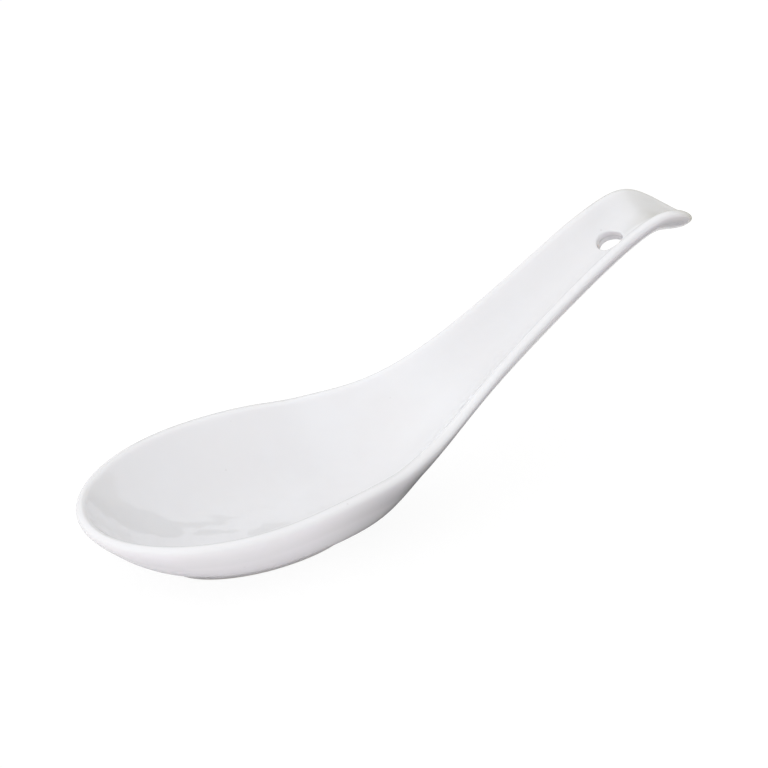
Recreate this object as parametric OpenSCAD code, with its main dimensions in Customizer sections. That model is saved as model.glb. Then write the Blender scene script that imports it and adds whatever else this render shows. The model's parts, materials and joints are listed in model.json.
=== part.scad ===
// Porcelain soup spoon: deep egg-shaped bowl, channelled rising handle with a
// hanging hole, end rolled over into a hook, flat unglazed foot under the bowl.
// Millimetres. X runs from the bowl's tip to the hooked end, Z is up, and the
// origin is the centre of the foot where it stands on the table.

/* [Bowl] */
// Breadth of the oval that the bowl is drawn on, lip centre to lip centre
bowl_breadth = 49.4; // [36:0.2:64]
// How far the oval front reaches ahead of the bowl's centre
bowl_front = 33.1; // [24:0.1:44]
// How gently the oval front runs into the long sides
bowl_front_blend = 8; // [3:0.5:14]
// Height of the lip above the floor at the bowl's tip
bowl_depth = 11.1; // [7:0.1:16]
// Angle at which the lip rises from the tip towards the handle
lip_rise_angle = 5.1; // [0:0.1:10]
// How flat the bowl's floor is before its wall turns up
bowl_fullness = 3.6; // [2:0.1:5]
// Thickness of the bowl at its floor
bowl_wall = 3; // [2:0.1:5]
// Thickness of the rounded lip all round the spoon
lip_thickness = 2.2; // [1.6:0.1:3.4]

/* [Shoulders] */
// Where the outline starts to narrow, behind the bowl's centre
taper_start = 19; // [10:0.5:28]
// Where the outline reaches the handle's width
taper_end = 43; // [34:0.5:56]
// How gently the outline turns in and out of the taper
taper_blend = 21; // [8:0.5:30]
// Where the bowl's wall starts to drop to the handle's channel
drop_start = 26; // [18:0.1:30]
// Where the wall has dropped to the channel's depth
drop_end = 32; // [31:0.1:44]
// How gently the wall drops
drop_blend = 13; // [6:0.5:20]

/* [Handle] */
// Breadth of the handle, lip centre to lip centre
handle_breadth = 13.4; // [10:0.2:20]
// Angle at which the handle rises
handle_angle = 31.5; // [20:0.5:42]
// Where the handle leaves the bowl's floor, behind the bowl's centre
rise_start = 22.3; // [18:0.1:30]
// How gently it turns up there
rise_blend = 5; // [2:0.5:12]
// Depth of the channel along the handle
channel_depth = 4.8; // [2:0.1:7]
// How flat the channel is before its sides turn up
channel_fullness = 2.4; // [2:0.1:4]
// Thickness of the handle along its middle
handle_wall = 2.5; // [1.8:0.1:4]

/* [Hooked end] */
// Where the handle rolls over, behind the bowl's centre
crest_at = 97; // [84:0.5:110]
// How gently the handle rolls over
crest_blend = 6; // [3:0.5:10]
// Angle at which the hooked end drops
hook_angle = 42; // [20:1:55]
// Length of the rounded tongue that closes the hooked end
tongue_length = 8.7; // [5:0.1:14]
// How far before the crest the tongue starts
tongue_lead = 0.4; // [0:0.1:4]
// How gently the sides run into the tongue
tongue_blend = 2.2; // [1:0.1:5]
// Depth of the channel in the hooked end
end_channel_depth = 3.4; // [1:0.1:5]
// How far before the crest the channel starts to get shallower
shallow_lead = 15.8; // [8:0.1:24]
// Length over which the channel gets shallower
shallow_length = 16; // [8:0.5:24]

/* [Hanging hole] */
// Diameter of the hole through the handle
hole_diameter = 5.6; // [3:0.1:7]
// Distance from the hole's centre forward of the crest
hole_before_crest = 9.6; // [8:0.1:20]

/* [Foot] */
// Length of the oval that the foot is drawn on; its soft corner makes the flat a little larger
foot_length = 37; // [28:0.5:44]
// Breadth of that oval
foot_breadth = 18.5; // [14:0.5:28]
// Height of the bare band under the glaze line
foot_height = 0.5; // [0.4:0.1:1.6]
// Height of the middle of the bowl's floor above the table
floor_height = 2.6; // [2.2:0.1:5]
// How far the foot's centre lies behind the bowl's centre
foot_setback = 3.5; // [0:0.5:6]
// How steeply the foot flares into the belly
foot_flare = 6.5; // [2:0.5:8]
// How gently the foot runs into the belly
foot_blend = 2; // [0.5:0.1:3]

/* [Regions] */
// Where the bowl is counted as ending and the handle as starting
neck_at = 36; // [30:0.5:50]
// How far before the crest the hooked end is counted as starting
hook_lead = 4.6; // [2:0.1:6]

/* [Hidden] */

half_bowl = bowl_breadth / 2;
half_handle = handle_breadth / 2;
rise = tan(handle_angle);
fall = tan(hook_angle);
lip_rise = tan(lip_rise_angle);
tongue_at = crest_at - tongue_lead;
shallow_at = crest_at - shallow_lead;
shallow_blend = shallow_length / 4;
hole_at = crest_at - hole_before_crest;
hook_at = crest_at - hook_lead;
tip_x = -bowl_front + bowl_front_blend * bowl_front_blend / (4 * bowl_front);
// Step used to read slopes off the surface
probe = lip_thickness / 200;
// One overrun serves every cut and every parting box
overrun = bowl_breadth;

// Facets: rays round the bowl's front and the tongue, stations along the body,
// rows from the middle to the lip, and steps round the lip
front_rays = 22;
bowl_stations = 12;
handle_stations = 20;
hook_stations = 3;
tongue_rays = 9;
rows = 9;
lip_steps = 7;
front_sweep = 80;
tongue_sweep = 8;
row_bias_share = 1.2;
fan_back_share = 0.12;
hole_sides = 64;

glaze_white = [0.93, 0.93, 0.92];
bare_body = [0.86, 0.83, 0.78];

// A soft corner: nothing before the corner, a straight run after it
function ramp(u, r) = (u + sqrt(u * u + r * r)) / 2;
function ramp_slope(u, r) = (1 + u / sqrt(u * u + r * r)) / 2;
// A soft change from 0 to 1 between two places
function blend(x, x1, x2, r) = (ramp(x - x1, r) - ramp(x - x2, r)) / (x2 - x1);

// Outline seen from above
function half_width(x) =
    half_bowl - (half_bowl - half_handle) * blend(x, taper_start, taper_end, taper_blend);
function front_reach(x) = -ramp(-x, bowl_front_blend);
function tongue_reach(x) = ramp(x - tongue_at, tongue_blend);
// 0 along the middle, 1 on the lip
function out(x, y) = sqrt(pow(front_reach(x) / bowl_front, 2) + pow(y / half_width(x), 2)
    + pow(tongue_reach(x) / tongue_length, 2));

// Side view: the line of the floor, then how far the lip stands above it
function floor_z(x) =
    rise * ramp(x - rise_start, rise_blend) - (rise + fall) * ramp(x - crest_at, crest_blend);
function floor_slope(x) = rise * ramp_slope(x - rise_start, rise_blend)
    - (rise + fall) * ramp_slope(x - crest_at, crest_blend);
function dropped(x) = blend(x, drop_start, drop_end, drop_blend);
function depth(x) =
    channel_depth + (bowl_depth + lip_rise * (x - tip_x) - channel_depth) * (1 - dropped(x))
    - (channel_depth - end_channel_depth)
        * blend(x, shallow_at, shallow_at + shallow_length, shallow_blend);
function fullness(x) = bowl_fullness - (bowl_fullness - channel_fullness) * dropped(x);

// The surface half way through the wall, and the wall's thickness there
function mid_z(x, y) = floor_z(x) + depth(x) * pow(out(x, y), fullness(x));
function wall(x, y) = let (full = bowl_wall - (bowl_wall - handle_wall) * dropped(x))
    lip_thickness + (full - lip_thickness) * max(0, 1 - pow(out(x, y), 2));

function slope_x(x, y) = (mid_z(x + probe, y) - mid_z(x - probe, y)) / (2 * probe);
function slope_y(x, y) = (mid_z(x, y + probe) - mid_z(x, y - probe)) / (2 * probe);
function unit(v) = v / norm(v);
// Straight out of the wall, upwards
function up_at(x, y) = unit([-slope_x(x, y), -slope_y(x, y), 1]);
// Along the wall, away from the spoon, square to the lip
function away_at(x, y) =
    let (
        gx = out(x + probe, y) - out(x - probe, y),
        gy = out(x, y + probe) - out(x, y - probe),
        along = unit([-gy, gx, slope_y(x, y) * gx - slope_x(x, y) * gy])
    ) cross(along, up_at(x, y));

// The foot swells softly out of the belly: the lower of the two surfaces counts
function foot_swell(x, y) =
    let (q = pow((x - foot_setback) * 2 / foot_length, 2) + pow(y * 2 / foot_breadth, 2))
    foot_flare / 2 * (q * q - 1) - floor_height;
function with_foot(p) =
    let (b = foot_swell(p[0], p[1]))
    [p[0], p[1], (p[2] + b - sqrt(pow(p[2] - b, 2) + foot_blend * foot_blend)) / 2];

// Rim places from the tip to the end: rays round the front, stations along the body with
// one at each parting, rays round the tongue
function front_x(a) = let (m = bowl_front * cos(a)) bowl_front_blend * bowl_front_blend / (4 * m) - m;
function tongue_x(a) =
    let (n = tongue_length * sin(a)) tongue_at + n - tongue_blend * tongue_blend / (4 * n);
body_from = front_x(front_sweep);
body_to = tongue_x(tongue_sweep);
function run(x1, x2, n) = [for (i = [1:n]) x1 + (x2 - x1) * i / n];
rim_x = concat(
    [for (i = [0:front_rays]) front_x(front_sweep * i / front_rays)],
    run(body_from, neck_at, bowl_stations),
    run(neck_at, hook_at, handle_stations),
    run(hook_at, body_to, hook_stations),
    [for (i = [1:tongue_rays]) tongue_x(tongue_sweep + (90 - tongue_sweep) * i / tongue_rays)]
);
last = len(rim_x) - 1;
neck = front_rays + bowl_stations;
hook = neck + handle_stations;
function rim_y(k) = k == 0 || k == last ? 0 : half_width(rim_x[k])
    * sqrt(max(0, 1 - pow(front_reach(rim_x[k]) / bowl_front, 2)
        - pow(tongue_reach(rim_x[k]) / tongue_length, 2)));
fan_x = tongue_at - fan_back_share * tongue_length;
function spine_x(k) = max(0, min(rim_x[k], fan_x));

// One ray or station: inside from the middle out, round the lip, underside back to the middle
function section(k) =
    let (
        s = spine_x(k),
        ex = rim_x[k],
        ey = rim_y(k),
        up = up_at(ex, ey),
        away = away_at(ex, ey),
        rim = [ex, ey, mid_z(ex, ey)],
        share = [for (j = [0:rows]) 1 - pow(1 - j / rows, row_bias_share)],
        px = [for (f = share) s + (ex - s) * f],
        py = [for (f = share) ey * f],
        mid = [for (j = [0:rows]) [px[j], py[j], mid_z(px[j], py[j])]],
        off = [for (j = [0:rows]) up_at(px[j], py[j]) * wall(px[j], py[j]) / 2]
    )
    concat(
        [for (j = [0:rows]) mid[j] + off[j]],
        [for (i = [1:lip_steps]) let (a = 180 * i / (lip_steps + 1))
            with_foot(rim + lip_thickness / 2 * (cos(a) * up + sin(a) * away))],
        [for (j = [rows:-1:0]) with_foot(mid[j] - off[j])]
    );
sections = [for (k = [0:last]) section(k)];
row_count = len(sections[0]);

// Numbering: the left side of a ray shares its two middle points with the right side,
// the first and last rays have one side, and rays from one middle point share it
function on_middle(j) = j == 0 || j == row_count - 1;
function group_start(k) = k == 0 ? 0 : spine_x(k) == spine_x(k - 1) ? group_start(k - 1) : k;
starts = [for (k = [0:last]) group_start(k)];
function place(side, k, j) =
    on_middle(j) ? starts[k] * row_count + j
    : side == 0 || k == 0 || k == last ? k * row_count + j
    : (last + 1 + k) * row_count + j;
function mirrored(p) = [p[0], -p[1], p[2]];
shell_points = concat(
    [for (s = sections, p = s) p],
    [for (s = sections, p = s) mirrored(p)]
);
function differ(t) = t[0] != t[1] && t[1] != t[2] && t[0] != t[2];
function four(side, a, b, c, d) = [
    for (t = side == 0 ? [[a, c, b], [a, d, c]] : [[a, b, c], [a, c, d]]) if (differ(t)) t
];
// Skin between two stations
function skin(k1, k2) = [
    for (side = [0, 1], k = [k1:k2 - 1], j = [0:row_count - 2], t = four(side,
        place(side, k, j), place(side, k + 1, j),
        place(side, k + 1, j + 1), place(side, k, j + 1))) t
];
// Wall cut across at a station, from the inside face to the underside
function across(k, facing) = [
    for (side = [0, 1], j = [0:(row_count - 3) / 2], t = four((side + facing) % 2,
        place(side, k, j), place(side, k, j + 1),
        place(side, k, row_count - 2 - j), place(side, k, row_count - 1 - j))) t
];

// Length of the fired piece between two stations, standing with the foot's centre at the origin
module length_between(k1, k2) {
    translate([-foot_setback, 0, floor_height])
        polyhedron(
            points = shell_points,
            faces = concat(skin(k1, k2), k1 > 0 ? across(k1, 0) : [], k2 < last ? across(k2, 1) : []),
            convexity = 6
        );
}

// Everything between two heights
module layer(z1, z2) {
    translate([tip_x - overrun, -overrun, z1]) cube([crest_at + 2 * overrun, 2 * overrun, z2 - z1]);
}

// Bore square to the handle's floor
module hole_bore() {
    hole_lean = atan(floor_slope(hole_at));
    translate([hole_at - foot_setback, 0, floor_height + mid_z(hole_at, 0)])
        rotate([0, -hole_lean, 0])
            cylinder(d = hole_diameter, h = handle_wall * 4, center = true, $fn = hole_sides);
}

// Deep egg-shaped bowl with its rounded lip
module bowl() {
    color(glaze_white) intersection() {
        length_between(0, neck);
        layer(foot_height, crest_at);
    }
}

// Channelled handle, open at the hanging hole
module handle() {
    color(glaze_white) difference() {
        length_between(neck, hook);
        hole_bore();
    }
}

// End rolled over the crest and closed by a rounded tongue
module hooked_end() {
    color(glaze_white) length_between(hook, last);
}

// Bare flat foot, ground level, under the glaze line
module foot() {
    color(bare_body) intersection() {
        length_between(0, neck);
        layer(0, foot_height);
    }
}

bowl();
handle();
hooked_end();
foot();
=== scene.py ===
# %% [markdown]
# # A white porcelain soup spoon
#
# The spoon in the photograph is one piece of white porcelain: a deep egg-shaped
# bowl, a handle pressed into a shallow channel, and an end that rolls over into a
# hook, with a hole to hang it by. A potter makes it in one mould, dips it in clear
# glaze, wipes the foot that it stands on and fires it.
#
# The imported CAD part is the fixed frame. Everything here is in metres in that
# frame: X runs from the bowl's tip to the hooked end, Z is up, and the origin is
# the middle of the foot.

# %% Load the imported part
import json
import bpy
import numpy as np
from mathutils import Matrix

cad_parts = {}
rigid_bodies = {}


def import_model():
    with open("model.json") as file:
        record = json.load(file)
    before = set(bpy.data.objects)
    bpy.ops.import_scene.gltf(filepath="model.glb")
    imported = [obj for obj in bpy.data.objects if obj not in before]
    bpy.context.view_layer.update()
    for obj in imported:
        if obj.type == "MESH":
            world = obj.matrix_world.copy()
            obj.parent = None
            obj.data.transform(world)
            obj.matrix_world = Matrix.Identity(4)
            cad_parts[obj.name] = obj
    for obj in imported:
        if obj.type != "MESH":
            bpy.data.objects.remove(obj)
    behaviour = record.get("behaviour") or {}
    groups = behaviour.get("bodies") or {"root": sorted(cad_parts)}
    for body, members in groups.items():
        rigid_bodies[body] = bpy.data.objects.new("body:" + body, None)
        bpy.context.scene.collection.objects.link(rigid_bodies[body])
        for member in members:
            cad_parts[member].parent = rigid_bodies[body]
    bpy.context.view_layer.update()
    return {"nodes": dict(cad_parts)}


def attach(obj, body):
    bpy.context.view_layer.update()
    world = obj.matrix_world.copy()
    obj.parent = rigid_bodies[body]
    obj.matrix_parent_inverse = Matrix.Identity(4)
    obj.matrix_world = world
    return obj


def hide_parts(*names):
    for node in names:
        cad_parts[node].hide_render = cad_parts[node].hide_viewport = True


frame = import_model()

print("CAD nodes:", sorted(frame["nodes"]))

# %% [markdown]
# ## The shape as a formula
#
# A spoon like this could be pulled out of a cube with sculpting tools, or drawn as
# a few profile curves and lofted. Both leave small waves, and a glossy white glaze
# shows every wave. So the spoon is worked out as one smooth sheet: its height is a
# formula of the place (x, y) seen from above, with a wall thickness to each side.
#
# Lengths in the formulas are millimetres from the bowl's centre, as a potter would
# read them off a template. They are turned into metres in the frame at the end.
#
# Two small functions do nearly all of the shaping. A ramp is a corner with a
# rounded bend, and the difference of two ramps is a gentle step.

# %% Two soft building blocks
def ramp(u, bend):
    """Nothing before 0 and u after it: half the sum of u and the root of u squared plus the
    bend squared."""
    return (u + np.sqrt(u * u + bend * bend)) / 2


def blend(x, start, end, bend):
    """From 0 before the start to 1 after the end: the difference of two ramps, over the
    distance between them."""
    return (ramp(x - start, bend) - ramp(x - end, bend)) / (end - start)


print("halfway through a blend:", round(float(blend(1.0, 0.0, 2.0, 0.5)), 3))

# %% [markdown]
# ### The outline
#
# Seen from above the front is half an oval, the sides narrow in one long curve into
# the handle, and a short rounded tongue closes the far end. One number tells how
# far out a place is: 0 on the middle line and 1 on the lip.

# %% Outline from above
half_bowl, bowl_front, front_bend = 24.7, 33.1, 8.0
half_handle, taper_start, taper_end, taper_bend = 6.7, 19.0, 43.0, 21.0
crest_at, tongue_at, tongue_length, tongue_bend = 97.0, 96.6, 8.7, 2.2


def half_width(x):
    """Half the breadth from lip to lip: the bowl's, less what one long blend takes off
    towards the handle."""
    narrowed = blend(x, taper_start, taper_end, taper_bend)
    return half_bowl - (half_bowl - half_handle) * narrowed


def how_far_out(x, y):
    """0 in the middle and 1 on the lip: the root of the sum of the squares of the share of
    the front, of the breadth and of the tongue."""
    front = -ramp(-x, front_bend) / bowl_front
    tongue = ramp(x - tongue_at, tongue_bend) / tongue_length
    return np.sqrt(front ** 2 + (y / half_width(x)) ** 2 + tongue ** 2)


tip_x = -bowl_front + front_bend ** 2 / (4 * bowl_front)
print("widest, mm:", round(2 * float(half_width(0.0)), 1), " tip at x =", round(tip_x, 2))

# %% [markdown]
# ### The height
#
# The floor is level under the bowl, climbs at a steady angle along the handle and
# turns down over the crest. On it stands a wall that stays low in the middle and
# turns up near the lip: a high power of how far out the place is. The bowl is deep
# and full, the handle a shallow channel, and the hooked end shallower still.

# %% Height of the sheet
rise, fall = np.tan(np.radians(31.5)), np.tan(np.radians(42.0))
rise_start, rise_bend, crest_bend = 22.3, 5.0, 6.0
bowl_depth, lip_rise, channel_depth, end_depth = 11.1, np.tan(np.radians(5.1)), 4.8, 3.4
drop_start, drop_end, drop_bend = 26.0, 32.0, 13.0
shallow_start, shallow_end, shallow_bend = 81.2, 97.2, 4.0
bowl_fullness, channel_fullness = 3.6, 2.4


def floor_height(x):
    """Level, then the rise of the handle, then over the crest and down: the slope changes
    in two ramps."""
    return rise * ramp(x - rise_start, rise_bend) - (rise + fall) * ramp(x - crest_at, crest_bend)


def side_height(x):
    """Height of the lip over the floor: the bowl's blends into the channel's, and that into
    the hooked end's."""
    bowl_left = 1 - blend(x, drop_start, drop_end, drop_bend)
    in_bowl = bowl_depth + lip_rise * (x - tip_x)
    at_end = (channel_depth - end_depth) * blend(x, shallow_start, shallow_end, shallow_bend)
    return channel_depth + (in_bowl - channel_depth) * bowl_left - at_end


def sheet_height(x, y):
    """Floor plus the side height times how far out the place is, to the power of the
    fullness."""
    in_channel = blend(x, drop_start, drop_end, drop_bend)
    fullness = bowl_fullness - (bowl_fullness - channel_fullness) * in_channel
    return floor_height(x) + side_height(x) * how_far_out(x, y) ** fullness


lip_in_bowl, lip_on_handle = (round(float(side_height(x)), 1) for x in (0.0, 70.0))
print("lip over the floor, mm: bowl", lip_in_bowl, " handle", lip_on_handle)

# %% [markdown]
# ### The wall
#
# A cast wall is thickest in the middle and thins towards the lip. Half of the
# thickness goes to each side of the sheet, along the sheet's own normal, and the
# lip is half a round bead that joins the two skins.

# %% Skins on both sides of the sheet
bowl_wall, handle_wall, lip_thickness = 3.0, 2.5, 2.16
probe = 0.01


def slopes(of, x, y):
    """How fast a function of the place changes along x and along y: its values a hair to
    both sides, subtracted, over the distance between them."""
    along = (of(x + probe, y) - of(x - probe, y)) / (2 * probe)
    across = (of(x, y + probe) - of(x, y - probe)) / (2 * probe)
    return along, across


def unit(v):
    """The same direction with length 1: the vector over its own length."""
    return v / np.linalg.norm(v, axis=-1, keepdims=True)


def sheet_normal(x, y):
    """Straight off the sheet: minus the slope in x, minus the slope in y, and 1, made a
    unit vector."""
    dx, dy = slopes(sheet_height, x, y)
    return unit(np.stack([-dx, -dy, np.ones_like(dx)], -1))


def wall_thickness(x, y):
    """Full in the middle, and down to the lip's own thickness with the square of how far out
    the place is."""
    full = bowl_wall - (bowl_wall - handle_wall) * blend(x, drop_start, drop_end, drop_bend)
    return lip_thickness + (full - lip_thickness) * np.maximum(0, 1 - how_far_out(x, y) ** 2)


def skin(x, y, side):
    """A point of the skin: the sheet's point plus half the wall along the normal, up for
    side 1 and down for side -1."""
    x, y = np.broadcast_arrays(np.asarray(x, float), np.asarray(y, float))
    middle = np.stack([x, y, sheet_height(x, y)], -1)
    return middle + side * sheet_normal(x, y) * wall_thickness(x, y)[..., None] / 2


over_sheet = float(skin(0.0, 0.0, 1)[2] - sheet_height(0.0, 0.0))
print("inside floor of the bowl, mm over the sheet:", round(over_sheet, 2))

# %% [markdown]
# ### The foot
#
# Under the bowl the clay is thickened and flares out into an oval foot, so that the
# spoon stands still. The flare is a bowl-shaped surface of its own, and the lower of
# the two wins, with a soft corner between them. The flare's middle lies below the
# table, so what stands on the table is a flat oval where the flare is cut off level.

# %% Flare of the foot
foot_setback, foot_length, foot_breadth = 3.5, 37.0, 18.5
foot_flare, foot_bend, floor_over_table = 6.5, 2.0, 2.6
glaze_line = 0.5


def with_foot(p):
    """Lowers points to the foot's flare: the softened minimum of their height and a height
    that grows with the fourth power of the distance from the foot's middle."""
    out_x, out_y = 2 * (p[..., 0] - foot_setback) / foot_length, 2 * p[..., 1] / foot_breadth
    flare = foot_flare / 2 * ((out_x ** 2 + out_y ** 2) ** 2 - 1) - floor_over_table
    low = (p[..., 2] + flare - np.sqrt((p[..., 2] - flare) ** 2 + foot_bend ** 2)) / 2
    return np.stack([p[..., 0], p[..., 1], low], -1)


def to_frame(p):
    """Millimetres from the bowl's centre into metres in the frame, whose origin is the
    middle of the foot: shifted, then over a thousand."""
    return (p + np.array([-foot_setback, 0, floor_over_table])) / 1000


flare_middle = to_frame(with_foot(skin(foot_setback, 0.0, -1)))[2]
print("the flare would reach below the table by, mm:", round(-1000 * float(flare_middle), 2))

# %% [markdown]
# ## Places along the lip
#
# The mesh could be one even grid seen from above, but its squares would cut the lip
# and the hole into steps. Instead it is a fan of strips from the middle line to the
# lip. The strips are evenly spread along the lip, closer at the tip and the tongue,
# and some of them end on the rim of the hanging hole instead of the middle line, so
# the hole is part of the grid and not cut into it. One half is worked out and the
# other half is its mirror image.

# %% Stations along the lip
hole_at, hole_radius, hole_round = 87.4, 2.7, 0.45
front_rays, bowl_rays, handle_rays, hole_rays, after_rays, tongue_rays = 56, 44, 64, 40, 10, 36
front_degrees, tongue_degrees = (0, 80), (8, 90)
neck_x, before_hole, past_hole = 36.0, hole_at - 5.2, hole_at + 5.0


def lip_y(x):
    """Where the lip is at x: the breadth that makes how_far_out equal 1."""
    return half_width(x) * np.sqrt(np.maximum(0, 1 - how_far_out(x, 0.0) ** 2))


def even_steps(start, end, count):
    """That many even steps from the start to the end, without the start itself."""
    return np.linspace(start, end, count + 1)[1:]


front = -bowl_front * np.cos(np.radians(np.linspace(*front_degrees, front_rays + 1)))
front_x = front - front_bend ** 2 / (4 * front)
tongue = tongue_length * np.sin(np.radians(np.linspace(*tongue_degrees, tongue_rays + 1)))
tongue_x = tongue_at + tongue - tongue_bend ** 2 / (4 * tongue)
lip_x = np.concatenate([
    front_x,
    even_steps(front_x[-1], neck_x, bowl_rays),
    even_steps(neck_x, before_hole, handle_rays),
    even_steps(before_hole, past_hole, hole_rays),
    even_steps(past_hole, tongue_x[0], after_rays),
    tongue_x[1:]])
lip_at = np.stack([lip_x, lip_y(lip_x)], -1)
lip_at[[0, -1], 1] = 0
first_hole = front_rays + bowl_rays + handle_rays
last_hole = first_hole + hole_rays
print("stations along half the lip:", len(lip_x), " at the hole:", first_hole, "to", last_hole)

# %% [markdown]
# ## The hanging hole
#
# The hole is punched while the clay is soft, square to the handle, and its edges are
# wiped round before the glaze runs over them. A Boolean cut would leave a sharp edge
# and long thin faces. In this mesh the skin stops a little outside the bore and
# curls down into it. The curl is a curve with one control point where the skin's own
# slope meets the bore, so there is no crease.

# %% Where the skins meet the rim of the hole
hole_middle = np.array([hole_at, 0.0, float(sheet_height(hole_at, 0.0))])
hole_axis = sheet_normal(np.array(hole_at), np.array(0.0))
around = np.linspace(np.pi, 0, hole_rays + 1)
furthest_rim = 6.4


def off_axis(p):
    """Distance of points from the hole's axis: the length of what is left after the part
    along the axis."""
    d = p - hole_middle
    return np.linalg.norm(d - (d @ hole_axis)[..., None] * hole_axis, axis=-1)


def halve_until(reached, low, high, steps=40):
    """Finds for all rays at once the share of the way at which a growing condition first
    holds, by halving."""
    for _ in range(steps):
        half = (low + high) / 2
        hit = reached(half)
        low, high = np.where(hit, low, half), np.where(hit, half, high)
    return (low + high) / 2


def rim_of_hole(side, radius):
    """Sheet places (x, y) round the hole whose skin is that far from the axis."""
    place = lambda s: (hole_at + s * np.cos(around), s * np.sin(around))
    outside = lambda s: off_axis(skin(*place(s), side)) >= radius
    x, y = place(halve_until(outside, np.zeros_like(around), np.full_like(around, furthest_rim)))
    y[[0, -1]] = 0
    return np.stack([x, y], -1)


rim_top, rim_under = (rim_of_hole(side, hole_radius + hole_round) for side in (1, -1))
print("hole runs from x =", rim_top[0, 0].round(2), "to", rim_top[-1, 0].round(2),
      "and out to y =", rim_top[:, 1].max().round(2))

# %% The curl into the bore
hair, nearly_zero, bore_steps = 0.05, 1e-9, 5
curl_tail = 0.8 * hole_round


def bent(start, control, end, steps):
    """A curve that leaves the start towards a control point and comes from it to the end: with
    s the share of the way, the three weigh (1 - s) squared, twice s (1 - s), and s squared."""
    s = np.linspace(0, 1, steps + 1)[None, :, None]
    return ((1 - s) ** 2 * start[:, None] + 2 * s * (1 - s) * control[:, None]
            + s ** 2 * end[:, None])


def curl(side, rim, steps=9):
    """Rounded edge of the hole: a bent curve from the skin through the point where its slope
    meets the bore, ending straight down the bore. Returns points as stations by steps."""
    outwards = rim - hole_middle[:2]
    inward = rim - hair * unit(np.where(np.abs(outwards) < nearly_zero, 0, outwards))
    start, near = skin(rim[:, 0], rim[:, 1], side), skin(inward[:, 0], inward[:, 1], side)
    from_axis = start - hole_middle
    up = from_axis @ hole_axis
    away = unit(from_axis - up[:, None] * hole_axis)
    step = near - start
    slope = (step @ hole_axis) / -np.sum(step * away, -1)
    corner_up = up + slope * hole_round
    on_bore = lambda height: hole_middle + hole_radius * away + height[:, None] * hole_axis
    return bent(start, on_bore(corner_up), on_bore(corner_up - side * curl_tail), steps)


curl_top, curl_under = curl(1, rim_top), with_foot(curl(-1, rim_under))
share = np.linspace(0, 1, bore_steps + 1)[None, 1:-1, None]
bore = curl_top[:, -1:] * (1 - share) + curl_under[:, -1:] * share
hole_wall = np.concatenate([curl_top, bore, curl_under[:, ::-1]], 1)
straight_bore = np.linalg.norm(curl_top[:, -1] - curl_under[:, -1], axis=-1)
print("bore between the rounded edges, mm:", straight_bore.min().round(2), "to",
      straight_bore.max().round(2))

# %% [markdown]
# ## The glazed body
#
# Each strip runs over the upper skin from the middle line to the lip, round the
# bead of the lip, and back along the underside. Under the bowl the strips end on the
# glaze line, a contour of the foot, instead of the middle line. Half an oval of rays
# from the foot's middle finds that contour, by halving the way along each ray until
# the underside is at the height wanted.

# %% Contours of the foot
search_length, search_breadth, rays_at_neck = 27, 19, 4


def foot_contour(level, angles):
    """Sheet places whose underside is at that height over the table, one for each angle
    round the foot."""
    place = lambda s: (foot_setback + search_length * s * np.cos(angles),
                       search_breadth * s * np.sin(angles))
    high = lambda s: with_foot(skin(*place(s), -1))[..., 2] + floor_over_table >= level
    x, y = place(halve_until(high, np.zeros_like(angles), np.ones_like(angles)))
    return np.stack([x, np.where(np.abs(np.sin(angles)) < nearly_zero, 0, y)], -1)


foot_rays = front_rays + bowl_rays - rays_at_neck
foot_angles = np.linspace(np.pi, 0, foot_rays + 1)
glaze_edge = foot_contour(glaze_line, foot_angles)
print("glaze line, mm: x", (glaze_edge[[0, -1], 0] - foot_setback).round(2),
      " y", glaze_edge[:, 1].max().round(2))

# %% Where the strips start on the middle line
lead_in, lead_out = 12, 24
last_start = tongue_at - 0.12 * tongue_length


def respread(start, first, last, first_x, last_x):
    """Spreads the starts of the strips from the first to the last evenly between two x."""
    start[first:last + 1, 0] = np.linspace(first_x, last_x, last - first + 1)


start_top = np.stack([np.clip(lip_x, 0.0, last_start), np.zeros_like(lip_x)], -1)
start_top[first_hole:last_hole + 1] = rim_top
start_under = start_top.copy()
start_under[first_hole:last_hole + 1] = rim_under
start_under[:foot_rays + 1] = glaze_edge
for start, rim in ((start_top, rim_top), (start_under, rim_under)):
    before, after = first_hole - lead_in, last_hole + after_rays
    respread(start, before, first_hole, start[before, 0], rim[0, 0])
    respread(start, last_hole, after, rim[-1, 0], start[after, 0])
behind_foot = foot_rays + lead_out
respread(start_under, foot_rays, behind_foot, glaze_edge[-1, 0], start_under[behind_foot, 0])
print("upper strips start between x =", start_top[:, 0].min(), "and",
      start_top[:, 0].max().round(2))

# %% The lip as a bead
bead_rows = 20


def bead():
    """The lip: half a circle about the edge of the sheet, from the upper skin outwards to the
    underside. The cosine of the angle goes up, and the sine goes away from the sheet."""
    x, y = lip_at.T
    dx, dy = slopes(sheet_height, x, y)
    gx, gy = slopes(how_far_out, x, y)
    up = sheet_normal(x, y)
    away = np.cross(unit(np.stack([-gy, gx, dy * gx - dx * gy], -1)), up)
    angle = np.linspace(0, np.pi, bead_rows + 2)[None, 1:-1, None]
    edge = np.stack([x, y, sheet_height(x, y)], -1)[:, None]
    return edge + lip_thickness / 2 * (np.cos(angle) * up[:, None] + np.sin(angle) * away[:, None])


lip_bead = with_foot(bead())
print("bead of the lip:", lip_bead.shape[1], "rows, highest point",
      lip_bead[..., 2].max().round(2), "mm")

# %% Strips over, round and under
over_rows, under_rows, crowding_at_lip = 46, 46, 1.25


def strip(start, row_share):
    """Sheet places from the start to the lip, as stations by rows: the start plus the share of
    the way to the lip, a straight line from above."""
    return start[:, None] + (lip_at - start)[:, None] * row_share[None, :, None]


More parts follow.
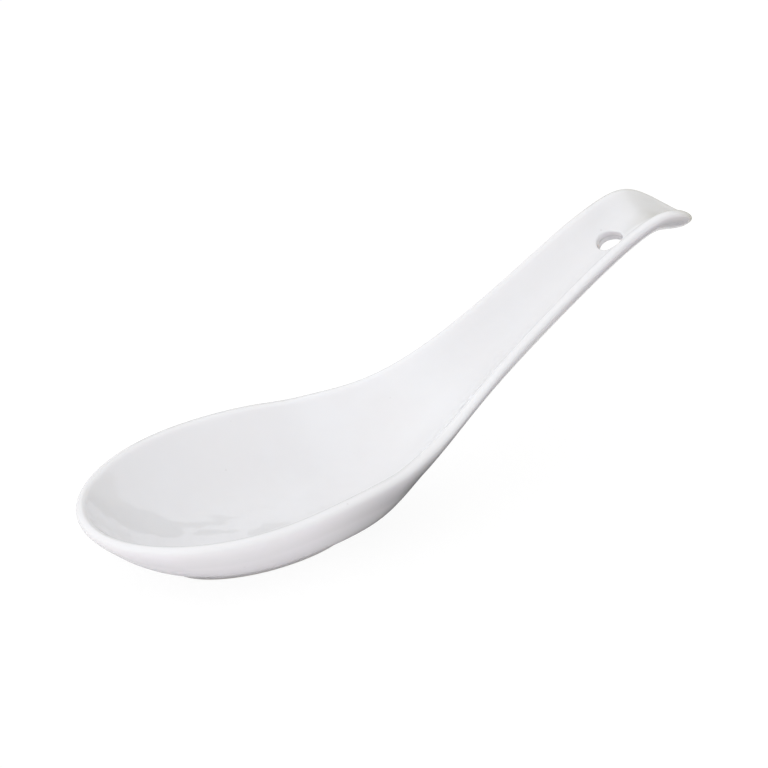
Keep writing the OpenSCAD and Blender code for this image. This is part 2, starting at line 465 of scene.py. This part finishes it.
even = np.linspace(0, 1, under_rows + 1)
over_share = 1 - (1 - np.linspace(0, 1, over_rows + 1)) ** crowding_at_lip
under_share = 0.5 * even + 0.5 * (1 - np.cos(np.pi * even)) / 2
over, under = strip(start_top, over_share), strip(start_under, under_share)
upper_skin = skin(over[..., 0], over[..., 1], 1)
under_skin = with_foot(skin(under[..., 0], under[..., 1], -1))
plain_strips = np.concatenate([upper_skin, lip_bead, under_skin[:, ::-1]], 1)
print("strips:", plain_strips.shape[0], " points in each:", plain_strips.shape[1])

# %% [markdown]
# ### The outer shoulder of the lip
#
# A bead joined straight to the underside has the right direction everywhere, but its
# roundness stops at once where the wall begins, and a glaze mirrors that as a hard
# line. On the real spoon the lip is wiped with a sponge and its roundness runs out
# slowly. So the rows between a point on the bead and one on the wall are replaced by
# one curve that keeps the place and the direction of both ends.

# %% The outer shoulder of the lip
bead_kept, wall_eased = 10, 12


def eased(strips):
    """Strips with a new shoulder. With s the share of the way, the start weighs 2 s cubed less
    3 s squared plus 1, the end weighs the rest, and the two directions weigh s cubed less
    2 s squared plus s, and s cubed less s squared."""
    first, last = over_rows + bead_kept, over_rows + bead_rows + wall_eased
    start, end = strips[:, first], strips[:, last]
    reach = np.linalg.norm(end - start, axis=-1, keepdims=True)
    leave = reach * unit(strips[:, first] - strips[:, first - 1])
    arrive = reach * unit(strips[:, last + 1] - strips[:, last])
    s = np.linspace(0, 1, last - first + 1)[None, :, None]
    curve = ((2 * s ** 3 - 3 * s ** 2 + 1) * start[:, None]
             + (s ** 3 - 2 * s ** 2 + s) * leave[:, None]
             + (3 * s ** 2 - 2 * s ** 3) * end[:, None]
             + (s ** 3 - s ** 2) * arrive[:, None])
    return np.concatenate([strips[:, :first], curve, strips[:, last + 1:]], 1)


body_strips = eased(plain_strips)
broader = body_strips[..., 1].max() - plain_strips[..., 1].max()
print("the shoulder makes the bowl broader on each side by, mm:", broader.round(3))

# %% A flat lid at the glaze line
lid_rings = 8


def lid(edge):
    """Closes a contour of the foot: each of its points and the ones on the way in to the
    middle, all at its height."""
    middle = np.array([foot_setback, 0.0, edge[0, 2]])
    return middle + (edge[:, None] - middle) * (1 - np.linspace(0, 1, lid_rings))[None, :, None]


glaze_ring = under_skin[:foot_rays + 1, 0]
ring_height = glaze_ring[:, 2] + floor_over_table
print("glaze line, mm over the table:", ring_height.min().round(4), "to",
      ring_height.max().round(4))

# %% [markdown]
# ### From grids to one closed mesh
#
# The strips, the wall of the hole and the lid at the glaze line are grids of points
# that share their edges. Each grid and its mirror image goes into one list, points
# at the same place are made one, and a four-sided face with a doubled corner becomes
# a triangle. What comes out is watertight, with its faces outwards, as long as each
# grid runs the same way round.

# %% Faces of a grid
def grid_faces(stations, rows, first=0):
    """Four-sided faces of a grid of points, each joining a point to its neighbours along and
    across: the point, the next row, both, the next station."""
    i, j = np.meshgrid(np.arange(stations - 1), np.arange(rows - 1), indexing="ij")
    a = first + i * rows + j
    return np.stack([a, a + 1, a + rows + 1, a + rows], -1).reshape(-1, 4)


print("faces of a grid of 3 by 3 points:", len(grid_faces(3, 3)))

# %% Grids into a closed mesh
weld_distance, sharp_degrees = 1e-5, 30


def welded_mesh(name, grids):
    """A mesh from half grids: each grid and its mirror image across y = 0, with points that
    coincide made one."""
    points, faces, count = [], [], 0
    for grid in grids:
        for mirror in (1, -1):
            points.append(grid.reshape(-1, 3) * [1, mirror, 1])
            quads = grid_faces(grid.shape[0], grid.shape[1], count)
            faces.append(quads[:, ::-mirror])
            count += len(points[-1])
    points, faces = np.concatenate(points), np.concatenate(faces)
    key = np.round(points / weld_distance).astype(np.int64)
    _, first, same = np.unique(key, axis=0, return_index=True, return_inverse=True)
    faces = same.reshape(-1)[faces]
    differs = faces != np.roll(faces, -1, 1)
    four = differs.all(1)
    doubled = faces[~four & (differs.sum(1) == 3)]
    at = np.argmax(doubled == np.roll(doubled, -1, 1), 1)
    three = doubled[np.arange(len(doubled))[:, None], (at[:, None] + [1, 2, 3]) % 4]
    mesh = bpy.data.meshes.new(name)
    mesh.from_pydata(to_frame(points[first]), [], [*faces[four].tolist(), *three.tolist()])
    mesh.polygons.foreach_set("use_smooth", np.ones(len(mesh.polygons), bool))
    mesh.set_sharp_from_angle(angle=np.radians(sharp_degrees))
    mesh.update()
    return mesh


print("points closer than this are made one, mm:", weld_distance)

# %% The glazed body as one piece
def piece_from(mesh):
    """An object for a mesh, at the origin of the frame."""
    piece = bpy.data.objects.new(mesh.name, mesh)
    bpy.context.scene.collection.objects.link(piece)
    return piece


body_grids = [body_strips, hole_wall[:, ::-1], lid(glaze_ring)]
glazed_body = piece_from(welded_mesh("glazed_body", body_grids))
print("glazed body:", len(glazed_body.data.vertices), "points,",
      len(glazed_body.data.polygons), "faces")

# %% [markdown]
# ### Inside and outside of the lip
#
# The glaze behaves differently in the bowl and the channel, where it ran together
# and froze in waves, than on the outside, where it drained off. The shape knows the
# difference exactly: a point is inside when it lies above the sheet. That is stored
# with each point of the mesh as a number, for the material to read.

# %% Which points lie inside the lip
fade_from, fade_over = 0.96, 0.22


def inside_the_lip(points):
    """1 in the bowl and the channel, running out to 0 just before the lip, and 0 on the bead
    and outside: with f the share of the fade, f squared times 3 less 2 f."""
    p = 1000 * points + [foot_setback, 0, -floor_over_table]
    fade = np.clip((fade_from - how_far_out(p[:, 0], p[:, 1])) / fade_over, 0, 1)
    return np.where(p[:, 2] > sheet_height(p[:, 0], p[:, 1]), fade ** 2 * (3 - 2 * fade), 0.0)


points = np.empty(3 * len(glazed_body.data.vertices), np.float32)
glazed_body.data.vertices.foreach_get("co", points)
inner = inside_the_lip(points.reshape(-1, 3).astype(float)).astype(np.float32)
glazed_body.data.attributes.new("inside", "FLOAT", "POINT").data.foreach_set("value", inner)
print("points inside the lip:", int((inner > 0.5).sum()))

# %% [markdown]
# ## The foot that it stands on
#
# Between the glaze line and the table a low band of the body is bare. It could be a
# second material on the same mesh, but a piece of its own can be looked at, weighed
# and finished by itself. Its side follows contours of the same flare, its lower edge
# is worn round by tables, and flat lids close it below and at the glaze line.

# %% The bare foot
levels = np.array([glaze_line, 0.45, 0.40, 0.35, 0.30])
contours = [foot_contour(level, foot_angles) for level in levels]
wall_of_foot = np.stack([with_foot(skin(c[:, 0], c[:, 1], -1)) for c in contours], 1)
wall_of_foot[:, 0] = glaze_ring


def foot_edge(wall, steps=8):
    """Worn edge: a bent curve that leaves the wall along its slope and ends flat on the table,
    a hair inside the corner where that slope would meet the table."""
    above, low = wall[:, -2], wall[:, -1]
    down = low - above
    corner = low + down * ((-floor_over_table - low[:, 2]) / down[:, 2])[:, None]
    inward = unit(([foot_setback, 0, -floor_over_table] - corner) * [1, 1, 0])
    flat = corner + inward * np.linalg.norm(corner - low, axis=-1, keepdims=True)
    return bent(low, corner, flat, steps)[:, 1:]


edge = foot_edge(wall_of_foot)
foot_grid = np.concatenate(
    [lid(glaze_ring)[:, ::-1], wall_of_foot[:, 1:], edge, lid(edge[:, -1])[:, 1:]], 1)
bare_foot = piece_from(welded_mesh("bare_foot", [foot_grid]))
print("bare foot:", len(bare_foot.data.polygons), "faces, flat from x =",
      (edge[[0, -1], -1, 0] - foot_setback).round(2), "mm")

# %% [markdown]
# ## Which CAD solids they stand for
#
# The CAD part has four solids: bowl, handle, hooked end and foot. The real spoon is
# glazed in one go, so the first three are one smooth piece here. Both pieces ride on
# the part's only body.

# %% Pieces and CAD nodes
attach(glazed_body, "root")
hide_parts("bowl", "handle", "hooked_end")
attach(bare_foot, "root")
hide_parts("foot")
print("pieces:", glazed_body.name, "and", bare_foot.name)

# %% [markdown]
# ## The camera
#
# The photograph is taken from beyond the bowl's tip and a little above, with a long
# lens, so the far end hardly shrinks. The numbers come from laying this very
# surface over the spoon's outline, its inner lip line and its hole until they agree.
# The camera looks along minus its own Z axis, so its three axes are the columns of
# its matrix, and the eye is the fourth.

# %% Camera
from mathutils import Matrix

azimuth, elevation = np.radians(-35.734), np.radians(25.290)
distance, lens_in_pixels, picture, sensor_mm, nearest = 0.520, 2735.54, 768, 36.0, 0.01
aim, shift_right, shift_up = np.array([0.0165, 0.0, 0.0176]), 0.009381, 0.010440
ground_share = np.cos(elevation)
back = np.array([np.sin(azimuth) * ground_share, -np.cos(azimuth) * ground_share,
                 np.sin(elevation)])
right = np.array([np.cos(azimuth), np.sin(azimuth), 0.0])
up = np.cross(back, right)
eye = aim + shift_right * right + shift_up * up + distance * back
camera = bpy.data.objects.new("camera", bpy.data.cameras.new("camera"))
camera.data.sensor_width = sensor_mm
camera.data.lens = lens_in_pixels / picture * sensor_mm
camera.data.clip_start = nearest
columns = np.vstack([np.column_stack([right, up, back, eye]), [0, 0, 0, 1]])
camera.matrix_world = Matrix(columns.tolist())
bpy.context.scene.collection.objects.link(camera)
bpy.context.scene.camera = camera
print("lens, mm:", round(camera.data.lens, 1), " one pixel on the spoon, mm:",
      round(1000 * distance / lens_in_pixels, 3))

# %% [markdown]
# ## Writing shader nodes as sums
#
# A finish is a small calculation at each point of the surface, and a long chain of
# nodes set one by one is hard to read. One small class wraps a socket instead. Plus,
# minus, times and over between sockets and plain numbers add Math nodes, and one
# method adds any other node: its settings first, then a value or a link for each of
# its sockets.

# %% A field over the surface
class Field:
    """One output socket in a node tree, with arithmetic."""

    def __init__(self, tree, socket=None):
        self.tree, self.socket = tree, socket

    def node(self, kind, settings=(), sockets=(), out=0):
        """Adds a node of a type, gives it its settings and its sockets' values or links, and
        returns one of its outputs."""
        made = self.tree.nodes.new("ShaderNode" + kind)
        for name, value in dict(settings).items():
            setattr(made, name, value)
        for name, value in dict(sockets).items():
            if isinstance(value, Field):
                self.tree.links.new(value.socket, made.inputs[name])
            else:
                made.inputs[name].default_value = value
        return Field(self.tree, made.outputs[out])

    def into(self, node, name):
        """Links this field to a named input of a node that is already there."""
        self.tree.links.new(self.socket, node.inputs[name])

    def maths(self, operation, *values):
        """A Math node on these values."""
        return self.node("Math", {"operation": operation}, enumerate(values))

    def __add__(self, other): return self.maths("ADD", self, other)
    def __radd__(self, other): return self.maths("ADD", other, self)
    def __sub__(self, other): return self.maths("SUBTRACT", self, other)
    def __rsub__(self, other): return self.maths("SUBTRACT", other, self)
    def __mul__(self, other): return self.maths("MULTIPLY", self, other)
    def __rmul__(self, other): return self.maths("MULTIPLY", other, self)
    def __truediv__(self, other): return self.maths("DIVIDE", self, other)

    def axis(self, which):
        """The x, y or z of a vector, for which = 0, 1 or 2."""
        return self.node("SeparateXYZ", (), {0: self}, which)

    def between(self, low, high):
        """0 up to the low value and 1 from the high one, with a soft start and end."""
        return self.node("MapRange", {"interpolation_type": "SMOOTHSTEP"},
                         {0: self, 1: low, 2: high})

    def mixed(self, first, second):
        """The first colour where this field is 0, the second where it is 1."""
        return self.node("Mix", {"data_type": "RGBA"}, {0: self, 6: first, 7: second}, 2)


print("a field can be added, subtracted, multiplied and divided")

# %% A material to fill, and soft noise
def new_material(name):
    """A material, its Principled shader and an empty field of its tree."""
    material = bpy.data.materials.new(name)
    material.use_nodes = True
    return material, material.node_tree.nodes["Principled BSDF"], Field(material.node_tree)


def grain(tree, place, size, detail=2.0):
    """Soft noise whose lumps are about that many millimetres across, from roughly 0.3 to
    0.7."""
    return tree.node("TexNoise", {"noise_dimensions": "3D"},
                     {"Vector": place, "Scale": 1000 / size, "Detail": detail})


pure_white = (1.0, 1.0, 1.0, 1)
print("materials start from one Principled shader")

# %% [markdown]
# ## The glaze
#
# White porcelain is a dense white body under a clear glaze. One even white would
# look like plastic. The body's white has broad, very faint clouds, and here and
# there a pinhead of iron from the clay. Inside, where the glaze pools, it looks a
# breath bluer, and on the underside the body looks warmer. The inside is also not
# the same from end to end: its white is a little darker at the tip and along the
# channel, and paler in the middle of the bowl and over the crest.
#
# Points that face up count as the inside here, so the tint needs only the surface's
# own normal, and the place along the spoon comes from the Object coordinates.

# %% Glaze: darker and paler along the inside
glaze, glaze_shader, field = new_material("clear_glaze_on_white")
place = field.node("TexCoord", out=3)
facing_up = field.node("NewGeometry", out=1).axis(2)
inside = facing_up.between(-0.35, 0.45)
clouds = grain(field, place, 16.0).between(0.3, 0.7)
along_spoon = place.axis(0)
at_tip, tip_ends, channel_starts, crest_starts = (
    0.45, (-0.010, 0.008), (0.036, 0.056), (0.084, 0.092))
# The inside's white is set by place along the spoon alone: darker at the tip and along the
# channel, paler in the middle of the bowl and over the crest.
darker_along_inside = (at_tip - at_tip * along_spoon.between(*tip_ends)
          + along_spoon.between(*channel_starts) - along_spoon.between(*crest_starts))
paler_inside_white, darker_inside_white = (0.843, 0.845, 0.866, 1), (0.799, 0.801, 0.822, 1)
inner_white = darker_along_inside.mixed(paler_inside_white, darker_inside_white)
print("nodes for the white inside:", len(field.tree.nodes))

# %% Glaze: clouds and specks
outer_white, cloud_grey = (0.845, 0.819, 0.856, 1), (0.812, 0.803, 0.815, 1)
iron = (0.36, 0.31, 0.27, 1)
white = inside.mixed(outer_white, inner_white)
clouded = (clouds * 0.5).mixed(white, cloud_grey)
to_speck = field.node("TexVoronoi", {"feature": "F1"}, {"Vector": place, "Scale": 165.0})
specks = 1 - to_speck.between(0.02, 0.050)
body_colour = (specks * 0.16).mixed(clouded, iron)
body_colour.into(glaze_shader, "Base Color")
print("glaze colour nodes:", len(field.tree.nodes))

# %% [markdown]
# ### Gloss, depth and waves
#
# The glaze is glass, so it mirrors sharply, and a little light sinks into the body
# and comes out again nearby: without that the lip and the edge of the hole look like
# painted metal. It is glossy but not flat. It froze as a liquid with slow waves in
# it, about six millimetres long and a tenth of one high, and they bend the edges
# of every reflection inside the lip. That is far too fine for the mesh and needs no
# outline of its own, so it is a bump, and the number that was stored with the mesh
# keeps it off the lip and the outside.

# %% Glaze: gloss and waves
depth = {"IOR": 1.5, "Subsurface Weight": 0.35, "Subsurface Radius": (1.0, 0.95, 0.9),
         "Subsurface Scale": 0.0016}
for name, value in depth.items():
    glaze_shader.inputs[name].default_value = value
gloss = 0.01 + grain(field, place, 7.0) * 0.02
gloss.into(glaze_shader, "Roughness")
inside_the_lip_here = field.node("Attribute", {"attribute_name": "inside"}, out=2)
wave_length, wave_height = 6.0, 0.00035
waves = grain(field, place, wave_length, 1.0) * inside_the_lip_here
bump = field.node("Bump", (), {"Strength": 1.0, "Distance": wave_height, "Height": waves})
bump.into(glaze_shader, "Normal")
glazed_body.data.materials.append(glaze)
print("glaze nodes:", len(field.tree.nodes))

# %% [markdown]
# ## The bare foot
#
# The foot is wiped clean of glaze so that it doesn't stick in the kiln. What shows
# is the fired body itself: matte, a little warmer than the glazed white, finely
# grained like an eggshell, darker where handling has soiled it. A flat grey would
# read as paper, so two noises do it: a fine one for the grain, in the colour, the
# roughness and a shallow bump, and a broad one for the soiling.

# %% Bare porcelain
bare, bare_shader, field = new_material("bare_porcelain")
place = field.node("TexCoord", out=3)
soiling = grain(field, place, 5.0, 5.0).between(0.42, 0.72)
fine = grain(field, place, 0.35, 3.0)
fired, in_the_pits = (0.80, 0.775, 0.735, 1), (0.70, 0.67, 0.625, 1)
soiled = (0.60, 0.56, 0.50, 1)
body = (fine * 0.6).mixed(fired, in_the_pits)
worn = (soiling * 0.35).mixed(body, soiled)
worn.into(bare_shader, "Base Color")
(0.72 + fine * 0.2).into(bare_shader, "Roughness")
bump = field.node("Bump", (), {"Strength": 0.6, "Distance": 0.00004, "Height": fine})
bump.into(bare_shader, "Normal")
bare_foot.data.materials.append(bare)
print("bare porcelain nodes:", len(field.tree.nodes))

# %% [markdown]
# ## The floor
#
# White ware is photographed on white paper, and the paper throws light back up under
# the spoon. Under the handle and the hook little of it comes back: there the spoon is
# darkest. A dark table would do that and lose the white ground. So two soft round
# shadows are painted into the paper's colour, and only the spoon sees them: the
# ground stays white, and the glaze above them turns darker.

# %% Floor with two painted shadows
bpy.context.scene.view_settings.view_transform = "Standard"
half_floor, paper_white, shade = 3.0, (0.88, 0.88, 0.88, 1), (0.05, 0.05, 0.05, 1)
corners = [(x * half_floor, y * half_floor, 0) for x, y in ((-1, -1), (1, -1), (1, 1), (-1, 1))]
plane = bpy.data.meshes.new("floor")
plane.from_pydata(corners, [], [(0, 1, 2, 3)])
floor = piece_from(plane)
paper, paper_shader, field = new_material("white_paper")
place = field.node("TexCoord", out=3)


def away_from(x, y, core, reach):
    """0 within the core of a round shade on the floor, 1 beyond its reach: both are distances
    from (x, y)."""
    along, across = place.axis(0) - x, place.axis(1) - y
    return field.maths("SQRT", along * along + across * across).between(core, reach)


# Two round shadows painted into the paper's colour, one under the handle and one under the hook.
under_handle = away_from(0.052, -0.026, 0.018, 0.052)
under_hook = away_from(0.135, -0.012, 0.015, 0.048)
paper_with_painted_shadows = (under_handle * under_hook).mixed(shade, paper_white)
paper_with_painted_shadows.into(paper_shader, "Base Color")
paper_shader.inputs["Roughness"].default_value = 0.9
paper_shader.inputs["Specular IOR Level"].default_value = 0.0
print("floor, m:", 2 * half_floor)

# %% [markdown]
# ### What each ray finds on the paper
#
# A floor bright enough to look white would also light the spoon too much. So the
# camera's own rays get their own paper: most of it plain white, and the rest still
# lit, which keeps a faint shadow of the spoon. From below the paper is clear, so
# that the foot can be looked at, and right under the flat of the foot it is clear to
# every ray, or no light at all would reach the flat.

# %% Paper for the camera and for the spoon
flat_length, flat_breadth = 0.0372, 0.01846
ground_light, unlit_share = 1.05, 0.87
lit = Field(paper.node_tree, paper_shader.outputs[0])
shadowed = field.node("BsdfDiffuse", (), {"Color": paper_white})
white_light = field.node("Emission", (), {"Color": pure_white, "Strength": ground_light})
as_seen = field.node("MixShader", (), {0: unlit_share, 1: shadowed, 2: white_light})
to_camera = field.node("LightPath", out=0)
front = field.node("MixShader", (), {0: to_camera, 1: lit, 2: as_seen})
clear = field.node("BsdfTransparent")
from_below = field.node("NewGeometry", out=6) * to_camera
along, across = place.axis(0) / (flat_length / 2), place.axis(1) / (flat_breadth / 2)
under_foot = 1 - (along * along + across * across).between(0.98, 1.0)
both = field.node("MixShader", (), {0: from_below + under_foot, 1: front, 2: clear})
both.into(paper.node_tree.nodes["Material Output"], "Surface")
floor.data.materials.append(paper)
print("paper nodes:", len(field.tree.nodes))

# %% [markdown]
# ## The dark cloth behind the hooked end
#
# The outward face of the hook is darker than anything far away can make it, because
# something dark stands close behind it. A black card would show in the picture, so
# this one is a low curved cloth round the hook that the camera can't see. For every
# other ray it is a dim grey light, a breath yellow, as a dark room looks in a glaze.

# %% Dark cloth behind the hooked end
cloth_middle, cloth_radius, cloth_low, cloth_high = (0.084, 0.0), 0.036, 0.030, 0.0765
cloth_stations, cloth_from, cloth_to = 45, -32, 78
turn = np.radians(np.linspace(cloth_from, cloth_to, cloth_stations))
ring = np.stack([cloth_middle[0] + cloth_radius * np.cos(turn),
                 cloth_middle[1] + cloth_radius * np.sin(turn)], -1)
foot_and_top = np.array([cloth_low, cloth_high])
cloth_points = np.concatenate([
    np.broadcast_to(ring[:, None], (cloth_stations, 2, 2)),
    np.broadcast_to(foot_and_top[None, :, None], (cloth_stations, 2, 1))], -1)
sheet = bpy.data.meshes.new("dark_cloth")
sheet.from_pydata(cloth_points.reshape(-1, 3), [], grid_faces(cloth_stations, 2))
dark_cloth = piece_from(sheet)
print("dark cloth, mm:", 1000 * cloth_radius, "from its middle, up to", 1000 * cloth_high)

# %% Dark to the spoon, nothing to the camera
dark_room = (1.04, 1.0, 0.75, 1)
black, black_shader, field = new_material("black_cloth")
to_the_spoon = 1 - field.node("LightPath", out=0)
dim = field.node("Emission", (), {"Color": dark_room, "Strength": 0.35})
hidden = field.node("BsdfTransparent")
shown = field.node("MixShader", (), {0: to_the_spoon, 1: hidden, 2: dim})
shown.into(black.node_tree.nodes["Material Output"], "Surface")
dark_cloth.data.materials.append(black)
print("black cloth nodes:", len(field.tree.nodes))

# %% [markdown]
# ## The light
#
# The spoon stands in a white tent, lit softly from everywhere and most from beyond
# the bowl's tip. On the far side the tent is open: a doorway into a dark room, as
# wide as 33 degrees to either side of its middle and 40 degrees high seen from the
# spoon, with round corners. The glaze mirrors it as the dark wavy patch in the bowl.
#
# Lamps and cards could build this, but the tent is far away compared with the
# spoon, so only the direction matters. It is written straight into the world:
# brightness as a function of the direction of view. The cloth gets dimmer from the
# bowl's tip towards the hook, least so overhead. The camera itself sees plain white.

# %% Cloth of the tent
world = bpy.data.worlds.new("white_tent")
bpy.context.scene.world = world
world.use_nodes = True
field = Field(world.node_tree)
background = world.node_tree.nodes["Background"]
towards = field.node("TexCoord", out=0)
along, across, height = (towards.axis(which) for which in range(3))
at_side, less_behind, lifted, less_across, saddle, overhead = 0.97, 0.46, 0.41, 0.02, 0.10, 0.10
cloth = (at_side - along * (less_behind - lifted * height) - less_across * across
         + saddle * (along * along - across * across) + overhead * height)
print("nodes for the cloth of the tent:", len(field.tree.nodes))

# %% Doorway
door_middle, door_half, door_top = (float(np.radians(d)) for d in (35.0, 33.0, 40.0))
door_dark = 0.14
sideways = (field.maths("ARCTAN2", across, along) - door_middle) / door_half
upwards = field.maths("ARCSINE", height) / door_top
beyond = (sideways * sideways) * (sideways * sideways) + (upwards * upwards) * (upwards * upwards)
open_door = 1 - beyond.between(0.975, 1.025)
tent = cloth * (1 - open_door) + door_dark * open_door
seen = field.node("LightPath", out=0)
strength = tent * (1 - seen) + seen
strength.into(background, "Strength")
light_colour = open_door.mixed(pure_white, dark_room)
shown_colour = seen.mixed(light_colour, pure_white)
shown_colour.into(background, "Color")
print("tent nodes:", len(field.tree.nodes))
